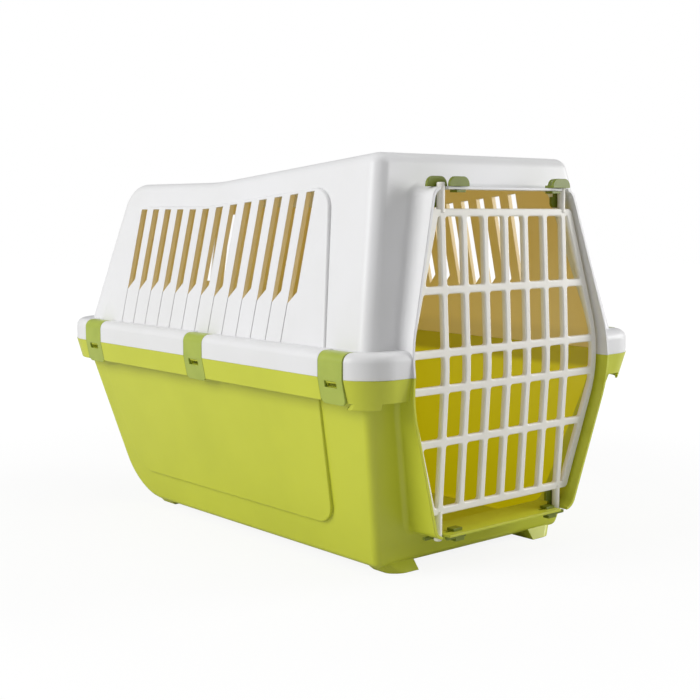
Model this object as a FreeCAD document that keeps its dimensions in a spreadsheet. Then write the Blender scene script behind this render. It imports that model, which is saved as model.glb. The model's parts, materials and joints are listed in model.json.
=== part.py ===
# Pet carrier: two moulded shells, a barred door, slide locks, rim clips and a fold-down handle.
# Frame: +X to the right, +Y to the back (the door faces -Y), +Z up, origin on the floor under the middle.
import FreeCAD, Part
import math
import os
import re
import Sketcher

doc = FreeCAD.newDocument("pet_carrier")
sheet = doc.addObject("Spreadsheet::Sheet", "sheet")

# Driving sizes in millimetres. Heights are above the floor, depths are from the middle of the length.
sizes = {
    # rim flange, where the two shells meet
    "rim_width": 400,
    "rim_length": 556,
    "rim_radius": 50,
    "rim_front_radius": 40,
    "flange_set": 2.4,
    "parting_height": 200,
    "side_reach": 15,
    "front_reach": 18,
    "rear_reach": 25,
    "flange_upper": 24,
    "flange_lower": 22,
    "flange_wall": 2.2,
    "flange_round": 9,
    "skirt_lean": 4.5,
    "tab_drop": 6,
    "tab_set": 9.4,
    "tab_width": 19.6,
    # both shells
    "wall": 2.2,
    "panel_corner": 26,
    # lower shell and its feet
    "base_height": 7,
    "tub_side_lean": 52,
    "tub_front_lean": 41,
    "tub_rear_lean": 34,
    "tub_corner": 8,
    "tub_sill": 8,
    "tub_heel": 58,
    "tub_panel_proud": 2,
    "tub_panel_foot_proud": 4,
    "tub_panel_foot": 43.5,
    "tub_panel_margin": 68,
    "tub_panel_lean": 24,
    "tub_panel_rear": 30,
    "tub_panel_round": 1.2,
    "foot_side_set": 15,
    "foot_width": 33,
    "foot_round": 10,
    "foot_length": 30,
    "front_foot_reach": 8,
    "rear_foot_set": 28,
    # upper shell
    "roof_front": 407,
    "roof_rear": 381.5,
    "roof_level": 171,
    "roof_spare": 12,
    "roof_blend": 420,
    "lid_side_lean": 50,
    "lid_front_lean": 36.5,
    "lid_rear_lean": 43,
    "lid_corner": 14,
    "lid_heel": 34,
    "lid_panel_proud": 4.5,
    "lid_panel_foot_proud": 2,
    "lid_panel_drop": 26,
    "lid_panel_margin": 57,
    "lid_panel_lean": 39.5,
    "lid_panel_rear": 32,
    "lid_panel_round": 2.4,
    # vent slots in the sides and the back of the upper shell
    "slot_pitch": 25,
    "slot_width": 12,
    "slot_margin": 26,
    "slot_rear_margin": 35,
    "slot_sill": 37,
    "slot_slant": 12,
    "slot_drop": 3,
    "score_width": 0.9,
    "score_depth": 0.6,
    "rear_slot_spread": 17,
    "rear_slot_width": 14,
    "rear_slot_sill": 38,
    "rear_slot_height": 84,
    # door collar
    "collar_rim_width": 284,
    "collar_waist": 26,
    "collar_bend": 120,
    "collar_top": 373.7,
    "collar_top_width": 199.8,
    "collar_top_setback": 18.2,
    "collar_foot": 39.2,
    "collar_foot_width": 201,
    "collar_foot_setback": 11.4,
    "collar_wall": 2.6,
    "collar_corner": 14,
    "collar_blend": 5.5,
    # door
    "door_gap": 3,
    "door_headroom": 18,
    "door_footroom": 19,
    "door_bow": 8,
    "bar_width": 7.5,
    "bar_depth": 6,
    "bar_count": 7,
    "rail_upper_far": 77,
    "rail_upper_near": 18,
    "rail_lower_near": 16.5,
    "rail_lower_far": 68,
    "pin_inset": 23,
    "pin_margin": 12.9,
    "pin_radius": 4,
    "pin_rise": 4,
    "notch_clear": 0.8,
    # keepers behind the door pins
    "keeper_width": 26,
    "keeper_rise": 9.8,
    "shield_sink": 6,
    "shield_gap": 1,
    "shield_round": 5,
    "keeper_shield": 19,
    "keeper_thick": 3,
    "keeper_gap": 0.5,
    "keeper_round": 8.5,
    "low_ear_rise": 3,
    "low_ear_round": 1.2,
    # slides that lock the door pins
    "slide_offset": 8.5,
    "slide_travel": 9.5,
    "slide_width": 26,
    "slide_rise": 9.2,
    "slide_plate": 2.4,
    "slide_thick": 3,
    "slide_round": 8,
    "slide_clear": 0.3,
    "stem_width": 6,
    "stem_offset": 5,
    "stem_thick": 3,
    "stem_foot": 3,
    "stub_width": 12,
    "stub_rise": 6.4,
    # clips on the long sides of the rim
    "clip_front_set": 50,
    "clip_middle": 5,
    "clip_rear_set": 75,
    "clip_width": 34,
    "clip_thick": 2.4,
    "clip_sink": 2.6,
    "clip_clear": 0.3,
    "clip_reach": 13.5,
    "clip_tab": 2.2,
    "clip_round": 6,
    "barrel_radius": 2.6,
    "trunnion_radius": 1.4,
    "trunnion_length": 3.2,
    "trunnion_clear": 0.1,
    "seat_depth": 5,
    "seat_margin": 6,
    "window_width": 17,
    "window_height": 6,
    "window_drop": 2.5,
    "nib_height": 1.6,
    "nib_width": 15,
    "nib_proud": 0.2,
    # handle and its recess in the roof
    "recess_length": 190,
    "recess_width": 80,
    "recess_depth": 24.5,
    "recess_round": 5,
    "handle_thick": 14,
    "handle_grip": 22,
    "handle_leg": 12,
    "handle_reach": 65,
    "handle_lift": 2.5,
    "handle_gap": 0.5,
    "handle_round": 4.5,
    "handle_corner": 14,
    "handle_pin_radius": 3.5,
    "handle_pin_length": 17,
    "handle_pin_clear": 0.1,
    "boss_radius": 7.5,
    "boss_length": 8,
}
for row, (name, size) in enumerate(sizes.items(), start=1):
    sheet.set("A%d" % row, name)
    sheet.set("B%d" % row, str(size))
    sheet.setAlias("B%d" % row, name)
doc.recompute()

# Sizes that follow from the driving ones.
derived = {
    "rim_half": "rim_width / 2",
    "rim_end": "rim_length / 2",
    "body_half": "rim_half - side_reach",
    "body_front": "rim_end - front_reach",
    "body_rear": "rim_end - rear_reach",
    "flange_front": "rim_end - flange_set",
    "flange_top": "parting_height + flange_upper",
    "flange_foot": "parting_height - flange_lower",
    "tub_base_half": "body_half - tub_side_lean",
    "tub_base_front": "body_front - tub_front_lean",
    "tub_base_rear": "body_rear - tub_rear_lean",
    "tub_panel_front": "body_front - tub_panel_margin",
    "foot_outer": "tub_base_half - foot_side_set",
    "foot_inner": "foot_outer - foot_width",
    "front_foot": "tub_base_front + front_foot_reach",
    "rear_foot": "tub_base_rear - rear_foot_set - foot_length",
    "lid_height": "roof_front - parting_height",
    "lid_stretch": "(lid_height + roof_spare) / lid_height",
    "roof_edge": "body_front - lid_front_lean",
    "roof_end": "body_rear - lid_rear_lean",
    "roof_break": "roof_end - roof_level",
    "roof_slope": "(roof_front - roof_rear) / (roof_break + roof_edge)",
    "lid_panel_front": "body_front - lid_panel_margin",
    "slot_first": "lid_panel_front - lid_panel_lean - slot_margin",
    "slot_count": "floor((slot_first + roof_end - slot_rear_margin) / slot_pitch) + 1",
    "slot_foot": "flange_top + slot_sill",
    "rear_slot_foot": "flange_top + rear_slot_sill",
    "collar_rim_half": "collar_rim_width / 2",
    "waist_top": "parting_height + collar_waist",
    "waist_foot": "parting_height - collar_waist",
    "collar_upper_lean": "(collar_rim_width - collar_top_width) / 2 / (collar_top - waist_top)",
    "collar_lower_lean": "(collar_rim_width - collar_foot_width) / 2 / (waist_foot - collar_foot)",
    "door_top": "collar_top - collar_wall - door_headroom",
    "door_foot": "collar_foot + collar_wall + door_footroom",
    "door_rim_half": "collar_rim_half - collar_wall - door_gap",
    "door_top_half": "door_rim_half - collar_upper_lean * (door_top - waist_top)",
    "door_foot_half": "door_rim_half - collar_lower_lean * (waist_foot - door_foot)",
    "pin_set": "rim_end - pin_inset",
    "pin_spread": "min(collar_top_width; collar_foot_width) / 2 - pin_margin",
    "bar_pitch": "2 * pin_spread / (bar_count - 1)",
    "notch_half": "pin_radius + notch_clear",
    "keeper_front": "pin_set - pin_radius - keeper_gap",
    "keeper_back": "keeper_front - keeper_thick",
    "slide_home": "pin_spread - slide_offset",
    "slide_half": "slide_width / 2",
    "stem_home": "slide_home - stem_offset",
    "slide_back": "pin_set + pin_radius + keeper_gap",
    "slide_front": "slide_back + slide_thick",
    "clip_top": "flange_top - clip_sink + clip_clear + clip_thick",
    "clip_half": "rim_half - clip_sink + clip_clear",
    "clip_axis": "rim_half - clip_reach",
    "clip_axis_height": "clip_top - barrel_radius",
    "recess_half": "recess_width / 2",
    "recess_end": "recess_length / 2",
    "recess_floor": "roof_rear - recess_depth",
    "handle_height": "recess_floor + handle_lift + handle_thick / 2",
    "handle_half": "recess_end - handle_gap",
    "handle_axis": "-(handle_reach - handle_thick / 2) / 2",
}


# how far an edge may lie from where it is looked for
slack = 0.1


# spells a formula out in cells of the sheet
def formula(text):
    def spell(match):
        word = match.group(0)
        if word in derived:
            return "(" + formula(derived[word]) + ")"
        if word in sizes:
            return "sheet." + word
        return word
    return re.sub(r"[a-z]\w*", spell, text)


# the present value of a formula
def value(text):
    return float(sheet.evalExpression(formula(text)))


# binds properties of an object to formulas
def tie(item, bindings):
    for name, text in bindings.items():
        item.setExpression(name, formula(text))


def minus(text):
    return "-(%s)" % text


# a formula times +1 or -1, for what repeats left and right or above and below
def signed(sign, text):
    return "(%s)" % text if sign > 0 else minus(text)


def recompute():
    doc.recompute()
    for item in doc.Objects:
        if "Invalid" in item.State or "Error" in item.State:
            raise RuntimeError("%s failed to build" % item.Name)


def new_body(name):
    return doc.addObject("PartDesign::Body", name)


def new_sketch(body, name, role, offset):
    sketch = body.newObject("Sketcher::SketchObject", name)
    sketch.AttachmentSupport = [(next(p for p in body.Origin.OriginFeatures if p.Role == role), "")]
    sketch.MapMode = "FlatFace"
    tie(sketch, {"AttachmentOffset.Base.z": offset})
    return sketch


def hold(sketch, kind, ends, text):
    number = sketch.addConstraint(Sketcher.Constraint(kind, *ends, value(text)))
    sketch.setExpression("Constraints[%d]" % number, formula(text))


# tangent points and centre of an arc that rounds a corner between two straight sides
def arc_at(before, corner, after, radius):
    back = (before - corner).normalize()
    ahead = (after - corner).normalize()
    half = back.getAngle(ahead) / 2
    middle = (back + ahead).normalize()
    reach = radius / math.tan(half)
    return corner + back * reach, corner + ahead * reach, corner + middle * (radius / math.sin(half))


# rounds a corner of a sketch, between the side that ends there and the side that starts there
def round_corner(sketch, u, v, radius, corner, ended, started, places):
    first, last, centre = places
    turn = [math.atan2(end.y - centre.y, end.x - centre.x) for end in (first, last)]
    left = (corner - first).cross(last - corner).z > 0
    rim = Part.Circle(centre, FreeCAD.Vector(0, 0, 1), value(radius))
    arc = sketch.addGeometry(Part.ArcOfCircle(rim, *(turn if left else turn[::-1])))
    point = sketch.addGeometry(Part.Point(corner), True)
    sketch.addConstraint(Sketcher.Constraint("Tangent", ended, 2, arc, 1 if left else 2))
    sketch.addConstraint(Sketcher.Constraint("Tangent", started, 1, arc, 2 if left else 1))
    hold(sketch, "Radius", (arc,), radius)
    for side in (ended, started):
        sketch.addConstraint(Sketcher.Constraint("PointOnObject", point, 1, side))
    hold(sketch, "DistanceX", (-1, 1, point, 1), u)
    hold(sketch, "DistanceY", (-1, 1, point, 1), v)


# a sketch of closed loops with straight sides, every corner tied to the sheet and some rounded by a radius
def outline(body, name, role, *loops, offset="0"):
    sketch = new_sketch(body, name, role, offset)
    for points in loops:
        count = len(points)
        corners = [FreeCAD.Vector(value(point[0]), value(point[1]), 0) for point in points]
        arcs = {n: arc_at(corners[n - 1], corners[n], corners[(n + 1) % count], value(point[2]))
                for n, point in enumerate(points) if len(point) > 2}
        lines = []
        for n in range(count):
            start = arcs[n][1] if n in arcs else corners[n]
            follower = (n + 1) % count
            end = arcs[follower][0] if follower in arcs else corners[follower]
            lines.append(sketch.addGeometry(Part.LineSegment(start, end)))
        for n, point in enumerate(points):
            if n in arcs:
                round_corner(sketch, *point, corners[n], lines[n - 1], lines[n], arcs[n])
                continue
            sketch.addConstraint(Sketcher.Constraint("Coincident", lines[n - 1], 2, lines[n], 1))
            hold(sketch, "DistanceX", (-1, 1, lines[n], 1), point[0])
            hold(sketch, "DistanceY", (-1, 1, lines[n], 1), point[1])
    return sketch


# a sketch of one circle tied to the sheet
def circle(body, name, role, u, v, radius, offset="0"):
    sketch = new_sketch(body, name, role, offset)
    centre = FreeCAD.Vector(value(u), value(v), 0)
    sketch.addGeometry(Part.Circle(centre, FreeCAD.Vector(0, 0, 1), value(radius)))
    hold(sketch, "DistanceX", (-1, 1, 0, 3), u)
    hold(sketch, "DistanceY", (-1, 1, 0, 3), v)
    hold(sketch, "Radius", (0,), radius)
    return sketch


def extrude(body, name, kind, sketch, length, side):
    feature = body.newObject(kind, name)
    feature.Profile = sketch
    feature.SideType = side
    tie(feature, {"Length": length})
    recompute()
    return feature


def pad(body, name, sketch, length, side="Symmetric"):
    return extrude(body, name, "PartDesign::Pad", sketch, length, side)


# cuts a sketch through the body, to both sides, and makes sure that it took something away
def pocket(body, name, sketch, length):
    before = body.Shape.Volume
    extrude(body, name, "PartDesign::Pocket", sketch, length, "Symmetric")
    if body.Shape.Volume >= before:
        raise RuntimeError("%s cuts nothing" % name)


# rounds the edges of the body's last feature that the test picks
def round_edges(body, name, radius, test):
    base = body.Tip
    picked = ["Edge%d" % (n + 1) for n, edge in enumerate(base.Shape.Edges) if test(edge.BoundBox)]
    if not picked:
        raise RuntimeError("%s has no edges" % name)
    fillet = body.newObject("PartDesign::Fillet", name)
    fillet.Base = (base, picked)
    tie(fillet, {"Radius": radius})
    recompute()


# turns a wedge so that it leans from its foot to its top
upright = FreeCAD.Placement(FreeCAD.Vector(), FreeCAD.Rotation(FreeCAD.Vector(1, 0, 0), 90))


# a block with leaning sides; each end is its half width, its front and its rear depth
def leaning_block(name, low, high, bottom, top):
    body = new_body(name)
    block = body.newObject("PartDesign::AdditiveWedge", name + "_block")
    block.Placement = upright
    tie(block, {"Ymin": low, "Ymax": high})
    for end, (half, front, rear) in (("", bottom), ("2", top)):
        tie(block, {
            "X%smin" % end: minus(half),
            "X%smax" % end: half,
            "Z%smin" % end: minus(rear),
            "Z%smax" % end: front,
        })
    recompute()
    return body


def box(name, x, y, z):
    block = doc.addObject("Part::Box", name)
    for axis, size, (low, high) in zip("xyz", ("Length", "Width", "Height"), (x, y, z)):
        tie(block, {"Placement.Base." + axis: low, size: "(%s) - (%s)" % (high, low)})
    return block


# limits along X of what lies between two distances from the middle, on one side
def on_side(side, near, far):
    return (near, far) if side > 0 else (minus(far), minus(near))


# limits of a span about a middle
def about(middle, half):
    return ("%s - (%s)" % (middle, half), "%s + (%s)" % (middle, half))


# a rod along Y or Z from its start, as long as stated
def rod(name, axis, start, radius, length):
    bar = doc.addObject("Part::Cylinder", name)
    turn = -90 if axis == "Y" else 0
    bar.Placement = FreeCAD.Placement(FreeCAD.Vector(), FreeCAD.Rotation(FreeCAD.Vector(1, 0, 0), turn))
    tie(bar, {"Placement.Base." + letter: text for letter, text in zip("xyz", start)})
    tie(bar, {"Radius": radius, "Height": length})
    return bar


def fuse(name, *items):
    joined = doc.addObject("Part::MultiFuse", name)
    joined.Shapes = list(items)
    return joined


def cut(name, base, *tools):
    left = doc.addObject("Part::Cut", name)
    left.Base = base
    left.Tool = tools[0] if len(tools) == 1 else fuse(name + "_tools", *tools)
    return left


def common(name, *items):
    shared = doc.addObject("Part::MultiCommon", name)
    shared.Shapes = list(items)
    return shared


sides = {"left": -1, "right": 1}
ends = {"top": 1, "bottom": -1}
stations = {"front": "-(rim_end - clip_front_set)", "middle": "-clip_middle",
            "rear": "rim_end - clip_rear_set"}


# Lower shell: leaning walls, a wide curve under the back, flat base; the skin makes the inside of it.
def tub_form(name, skin):
    body = leaning_block(
        name, "base_height + " + skin, "parting_height",
        ("tub_base_half - " + skin, "tub_base_front - " + skin, "tub_base_rear - " + skin),
        ("body_half - " + skin, "body_front - " + skin, "body_rear - " + skin))
    low = body.Shape.BoundBox.ZMin + slack
    high = body.Shape.BoundBox.ZMax - slack
    wide = value("tub_base_half")
    round_edges(body, name + "_heel", "tub_heel - " + skin,
                lambda e: e.ZMax < low and e.XLength > wide and e.YMin > 0)
    round_edges(body, name + "_corners", "tub_corner - " + skin,
                lambda e: e.ZMin < low and e.ZMax > high and e.YMax < 0)
    round_edges(body, name + "_sill", "tub_sill - " + skin,
                lambda e: e.ZMin < high and e.YMax > 0 and e.XLength < wide or e.ZMax < low and e.YMax < 0)
    return body


# All that lies above the roof line, or above a line as far below it as the drop.
def above_roof(body, name, drop):
    level = "roof_rear - (%s)" % drop
    crest = level + " + roof_slope * (roof_break + rim_end)"
    sky = "2 * roof_front"
    return outline(body, name, "YZ_Plane", [
        ("roof_break", level, "roof_blend"), ("rim_end", level), ("rim_end", sky), ("-rim_end", sky),
        ("-rim_end", crest)])


# Upper shell: leaning walls under a roof that is level at the back and climbs to the front.
def lid_form(name, skin):
    top = "roof_front + roof_spare"
    body = leaning_block(
        name, "parting_height", top,
        ("body_half - " + skin, "body_front - " + skin, "body_rear - " + skin),
        ("body_half - lid_side_lean * lid_stretch - " + skin,
         "body_front - lid_front_lean * lid_stretch - " + skin,
         "body_rear - lid_rear_lean * lid_stretch - " + skin))
    pocket(body, name + "_roof", above_roof(body, name + "_above_roof", skin), "2 * rim_width")
    wide = value("body_half")
    low = body.Shape.BoundBox.ZMin + slack
    rear = body.Shape.BoundBox.YMax / 2
    round_edges(body, name + "_heel", "lid_heel - " + skin,
                lambda e: e.XLength > wide and e.YMin > rear and e.ZMin > low)
    front = -rear
    round_edges(body, name + "_corners", "lid_corner - " + skin,
                lambda e: e.ZMax > low and (e.XLength < wide or e.YMax < front))
    return body


# Door collar on the front of a shell: its sides stand upright at the rim, then lean in to a narrower far end,
# and its face is set back there.
def add_collar(body, name, waist, far, far_half, setback, wall_at):
    spread = value(far_half)
    level = value(far)
    sketch = outline(body, name + "_outline", "XZ_Plane", [
        ("-collar_rim_half", "parting_height"), ("-collar_rim_half", waist, "collar_bend"),
        (minus(far_half), far), (far_half, far),
        ("collar_rim_half", waist, "collar_bend"), ("collar_rim_half", "parting_height")])
    pad(body, name, sketch, "rim_end", "One side")
    round_edges(body, name + "_corners", "collar_corner",
                lambda e: e.YLength > 5 and e.XLength < slack and abs(e.ZMin - level) < slack)
    beyond = "2 * (%s) - parting_height" % far
    ahead = "-(rim_end + front_reach)"
    lean = outline(body, name + "_ahead", "YZ_Plane", [
        ("-rim_end", "parting_height"), ("-(rim_end - 2 * %s)" % setback, beyond),
        (ahead, beyond), (ahead, "parting_height")])
    pocket(body, name + "_face", lean, "2 * rim_width")
    reach = value("collar_rim_half") + 1

    def meets_wall(e):
        at_wall = abs(e.YMin - min(wall_at(e.ZMin), wall_at(e.ZMax))) < slack
        flat = e.YLength < abs(wall_at(e.ZMin) - wall_at(e.ZMax)) + slack
        inside = max(-e.XMin, e.XMax) < reach
        return at_wall and flat and inside and e.ZLength + e.XLength > 1 and e.XLength < 2 * spread
    round_edges(body, name + "_blend", "collar_blend", meets_wall)


def tub_front(height):
    share = (height - value("base_height")) / value("parting_height - base_height")
    return -value("tub_base_front") - share * value("body_front - tub_base_front")


def lid_front(height):
    return -value("body_front") + (height - value("parting_height")) * value("lid_front_lean / lid_height")


# Raised panel on both long sides: a slightly wider block, kept only inside its outline.
def raised_panel(name, low, high, bottom, top, points, edge):
    body = leaning_block(name, low, high, bottom, top)
    surround = [("-rim_length", "-rim_length"), ("rim_length", "-rim_length"),
                ("rim_length", "rim_length"), ("-rim_length", "rim_length")]
    sketch = outline(body, name + "_surround", "YZ_Plane", surround, points)
    pocket(body, name + "_outline", sketch, "2 * rim_width")
    wide = value("body_half")
    round_edges(body, name + "_edges", edge, lambda e: e.XLength < wide)
    return body


# Rim flange above or below the parting line, as a full block inset by a skin. The cap is left off its top,
# and the drop is added to the foot of the lower one.
def flange_form(name, up, inset, cap="0", drop="0"):
    def rim(fall):
        shrink = "%s + skirt_lean / flange_lower * (%s)" % (inset, fall)
        return ("rim_half - (%s)" % shrink, "flange_front - (%s)" % shrink, "rim_end - (%s)" % shrink)
    if up:
        body = leaning_block(name, "parting_height", "flange_top - (%s)" % cap, rim("0"), rim("0"))
    else:
        body = leaning_block(name, "flange_foot - (%s)" % drop, "parting_height - (%s)" % cap,
                             rim("flange_lower + " + drop), rim(cap))
    tall = body.Shape.BoundBox.ZLength - slack
    round_edges(body, name + "_front", "rim_front_radius - (%s)" % inset,
                lambda e: e.ZLength > tall and e.YMax < 0)
    round_edges(body, name + "_rear", "rim_radius - (%s)" % inset, lambda e: e.ZLength > tall and e.YMin > 0)
    return body


def flange_hood(up):
    name = "lid_flange" if up else "tub_flange"
    sink = "flange_wall + clip_sink"
    outer = flange_form(name + "_form", up, "0")
    hollow = flange_form(name + "_hollow", up, "flange_wall", "flange_wall")
    seat = flange_form(name + "_seat", up, sink, sink + " + seat_depth" if up else "flange_wall")
    if up:
        top = value("flange_top") - slack
        round_edges(outer, name + "_edge", "flange_round", lambda e: e.ZMin > top)
        inner_top = value("flange_top - flange_wall") - slack
        round_edges(hollow, name + "_inner_edge", "flange_round - flange_wall", lambda e: e.ZMin > inner_top)
    backing = [box("%s_%s_%s_backing" % (name, side, place),
                   on_side(sign, "body_half - wall", "rim_half + wall"),
                   about(middle, "clip_width / 2 + seat_margin"),
                   ("flange_foot - wall", "flange_top + wall"))
               for side, sign in sides.items() for place, middle in stations.items()]
    open_space = fuse(name + "_space", cut(name + "_between_seats", hollow, *backing), seat)
    return cut(name, outer, open_space)


# Tabs that hang lower under the front corners of the lower flange.
def corner_tabs():
    deep = flange_form("tab_form", False, "0", "0", "tab_drop")
    hollow = flange_form("tab_hollow", False, "flange_wall", "flange_wall", "tab_drop")
    blocks = [box(side + "_tab_block", on_side(sign, "rim_half - tab_set - tab_width", "rim_half - tab_set"),
                  ("-flange_front", "rim_front_radius - flange_front"),
                  ("flange_foot - tab_drop", "parting_height - flange_wall")) for side, sign in sides.items()]
    return common("corner_tabs", cut("tab_skirt", deep, hollow), fuse("tab_blocks", *blocks))


# What the doorway takes out of both shells.
def doorway():
    body = new_body("doorway")
    top_half = "collar_top_width / 2 - collar_wall"
    foot_half = "collar_foot_width / 2 - collar_wall"
    rim_half = "collar_rim_half - collar_wall"
    sketch = outline(body, "doorway_outline", "XZ_Plane", [
        (minus(rim_half), "waist_foot", "collar_bend"), (minus(rim_half), "waist_top", "collar_bend"),
        (minus(top_half), "collar_top - collar_wall"), (top_half, "collar_top - collar_wall"),
        (rim_half, "waist_top", "collar_bend"), (rim_half, "waist_foot", "collar_bend"),
        (foot_half, "collar_foot + collar_wall"), (minus(foot_half), "collar_foot + collar_wall")],
        offset="body_front")
    pad(body, "doorway_block", sketch, "2 * (front_reach + lid_front_lean)")
    high = value("collar_top - collar_wall") - slack
    low = value("collar_foot + collar_wall") + slack
    round_edges(body, "doorway_corners", "collar_corner - collar_wall",
                lambda e: e.YLength > 5 and (e.ZMin > high or e.ZMax < low))
    return body


# Notch for a door pin and slot for a lock slide in the collar, at the top or at the bottom.
def collar_cuts(end):
    sign = ends[end]
    level = "collar_top" if sign > 0 else "collar_foot"
    through = about(level, "2 * collar_wall")
    cuts = []
    for side, way in sides.items():
        pin = signed(way, "pin_spread")
        cuts.append(box("%s_%s_notch" % (end, side), about(pin, "notch_half"),
                        ("-(rim_end + wall)", minus("keeper_back")), through))
        reach = on_side(way, "stem_home - slide_travel - stem_width / 2 - slide_clear",
                        "stem_home + stem_width / 2 + slide_clear")
        cuts.append(box("%s_%s_slide_slot" % (end, side), reach,
                        about("-pin_set", "stem_thick / 2 + slide_clear"), through))
    return cuts


# What the clips need in the flanges: a sunk seat, a round trough and holes for the trunnions.
def clip_cuts():
    sunk = fuse("flange_sunk", flange_form("sunk_lid_flange", True, "clip_sink", "clip_sink"),
                flange_form("sunk_tub_flange", False, "clip_sink", "0", "wall"))
    round_top = value("flange_top - clip_sink") - slack
    round_edges(doc.getObject("sunk_lid_flange"), "sunk_edge", "flange_round - clip_sink",
                lambda e: e.ZMin > round_top)
    beds = []
    holes = []
    for side, sign in sides.items():
        for place, middle in stations.items():
            name = "%s_%s" % (side, place)
            beds.append(box(name + "_bed", on_side(sign, "clip_axis - 2 * barrel_radius", "rim_half + wall"),
                            about(middle, "clip_width / 2 + clip_clear"),
                            ("flange_foot - wall", "flange_top + wall")))
            for part, radius, reach in (
                    ("trough", "barrel_radius + clip_clear", "clip_width / 2 + clip_clear"),
                    ("holes", "trunnion_radius + trunnion_clear",
                     "clip_width / 2 + trunnion_length + clip_clear")):
                start = (signed(sign, "clip_axis"), "%s - (%s)" % (middle, reach), "clip_axis_height")
                holes.append(rod("%s_%s" % (name, part), "Y", start, radius, "2 * (%s)" % reach))
    return cut("clip_beds", fuse("clip_bed_blocks", *beds), sunk), holes


# Nibs on the lower flange that sit in the windows of the clips, and holes through the flange below them.
def clip_catches():
    nibs = []
    holes = []
    top = "parting_height - window_drop - clip_clear"
    under = top + " - nib_height"
    sill = "parting_height - window_drop - window_height + clip_clear"
    for side, sign in sides.items():
        for place, middle in stations.items():
            name = "%s_%s" % (side, place)
            across = about(middle, "nib_width / 2")
            inner = "rim_half - clip_sink - skirt_lean"
            nib_depth = on_side(sign, inner, "clip_half + nib_proud")
            nibs.append(box(name + "_nib", nib_depth, across, (under, top)))
            hole_depth = on_side(sign, inner + " - flange_wall", "rim_half")
            holes.append(box(name + "_catch_hole", hole_depth, across, (sill, under)))
    return nibs, holes


# Four feet whose outer sides run up into the walls; the rear pair reach higher, to the curve under the back.
def feet():
    made = []
    for side, sign in sides.items():
        for place, front, rear, high, top_front, top_rear in (
                ("front", "-front_foot", "foot_length - front_foot", "base_height + tub_sill / 2",
                 "wall / 2 - tub_base_front", "foot_length - front_foot"),
                ("rear", "rear_foot", "rear_foot + foot_length", "2 * base_height",
                 "rear_foot", "rear_foot + foot_length")):
            body = new_body("%s_%s_foot" % (place, side))
            foot = body.newObject("PartDesign::AdditiveWedge", body.Name + "_block")
            foot.Placement = upright
            near, far = on_side(sign, "foot_inner", "foot_outer")
            top_near, top_far = on_side(sign, "foot_inner", "tub_base_half - wall / 2")
            tie(foot, {
                "Ymin": "0", "Ymax": high,
                "Xmin": near, "Xmax": far,
                "Zmin": minus(rear), "Zmax": minus(front),
                "X2min": top_near, "X2max": top_far,
                "Z2min": minus(top_rear), "Z2max": minus(top_front),
            })
            recompute()
            tall = body.Shape.BoundBox.ZLength - slack
            middle = body.Shape.BoundBox.Center
            round_edges(body, body.Name + "_corner", "min(foot_round; base_height)",
                        lambda e: e.ZLength > tall and abs(e.Center.x) > abs(middle.x)
                        and abs(e.Center.y) > abs(middle.y))
            made.append(body)
    return made


def lower_shell():
    outer = tub_form("tub", "0")
    cavity = tub_form("tub_inside", "wall")
    add_collar(outer, "tub_collar", "waist_foot", "collar_foot", "collar_foot_width / 2",
               "collar_foot_setback", tub_front)
    panel = raised_panel(
        "tub_panel", "base_height", "parting_height",
        ("tub_base_half + tub_panel_foot_proud", "tub_base_front", "tub_base_rear"),
        ("body_half + tub_panel_proud", "body_front", "body_rear"),
        [("-tub_panel_front", "parting_height"),
         ("-(tub_panel_front - tub_panel_lean)", "tub_panel_foot", "panel_corner"),
         ("tub_base_rear - tub_panel_rear", "tub_panel_foot", "panel_corner"),
         ("body_rear - tub_panel_rear", "parting_height")], "tub_panel_round")
    whole = fuse("tub_whole", outer, panel, flange_hood(False), corner_tabs(), *feet())
    nibs, catch_holes = clip_catches()
    hollowed = cut("tub_hollowed", whole, cavity, opening, clip_beds, *catch_holes, *collar_cuts("bottom"))
    return fuse("lower_shell", hollowed, *nibs)


# Vent slots along both sides: upright, with a slanted foot, their tops under the roof line.
def vent_slots():
    body = new_body("vent_slots")
    front = "-slot_first - slot_width / 2"
    rear = "-slot_first + slot_width / 2"
    sketch = outline(body, "slot_outline", "YZ_Plane", [
        (front, "slot_foot + slot_slant"), (rear, "slot_foot"), (rear, "roof_front"), (front, "roof_front")])
    slot = pad(body, "slot", sketch, "rim_width")
    row = body.newObject("PartDesign::LinearPattern", "slot_row")
    row.Originals = [slot]
    row.Direction = (sketch, ["H_Axis"])
    row.Mode = "Spacing"
    tie(row, {"Offset": "slot_pitch", "Occurrences": "slot_count"})
    body.Tip = row
    recompute()
    above = above_roof(body, "above_slots", "lid_panel_drop + slot_drop")
    pocket(body, "slot_tops", above, "2 * rim_width")
    return body


# Fine lines that run from the foot of each slot to the flange, cut into the raised panel.
def score_lines(core):
    lines = []
    for n in range(int(value("slot_count"))):
        middle = "-slot_first + slot_width / 2 + %d * slot_pitch" % n
        lines.append(box("score_%02d" % (n + 1), about("0", "rim_half"), about(middle, "score_width / 2"),
                         ("flange_top", "slot_foot + score_width")))
    return cut("score_lines", fuse("score_blocks", *lines), core)


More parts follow.
